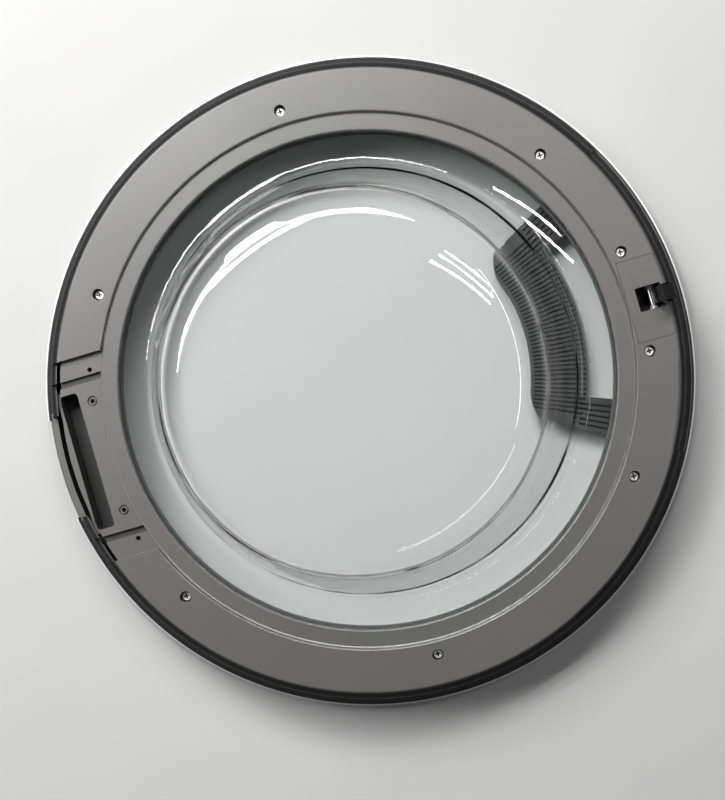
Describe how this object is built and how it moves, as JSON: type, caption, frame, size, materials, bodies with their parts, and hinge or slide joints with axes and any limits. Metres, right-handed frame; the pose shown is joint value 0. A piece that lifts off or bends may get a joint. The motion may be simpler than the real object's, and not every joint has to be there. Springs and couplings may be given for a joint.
{
  "type": "washing machine door",
  "caption": "Round front-loader washing machine door with a clear glass bowl, grey screwed inner frame, empty hinge seat, sprung latch hook and a ribbed bow handle.",
  "frame": {"origin": "centre of the door ring on the plane of its front face, on which it lies", "axes": "+Z from the front face towards the drum side, +X from the hinge towards the latch"},
  "size_m": [0.4737, 0.476, 0.12],
  "materials": {
    "trim": "silver lacquer",
    "carrier": "moulded",
    "glass": "clear pressed glass",
    "seal": "matt",
    "frame": "fine texture",
    "housing": "moulded",
    "hook": "smooth",
    "handle": "ribbed",
    "steel": "bright zinc"
  },
  "bodies": {
    "door": {"trim_ring": "trim", "front_ring": "carrier", "glass_bowl": "glass", "glass_seal": "seal", "inner_frame": "frame", "latch_cover": "frame", "latch_housing": "housing", "hook_pin": "steel", "hook_spring": "steel", "pull_handle": "handle", "frame_screws": "steel", "handle_screws": "steel"},
    "hook": {"latch_hook": "hook"}
  },
  "joints": [
    {"name": "hook_pivot", "type": "hinge", "parent": "door", "child": "hook", "pos_m": [0.2115, 0, 0.031], "axis": [0, -1, 0], "range_deg": [0, 14], "stiffness_Nm_per_rad": 0.12, "springref_deg": -20.05, "deforming": ["hook_spring"]}
  ]
}
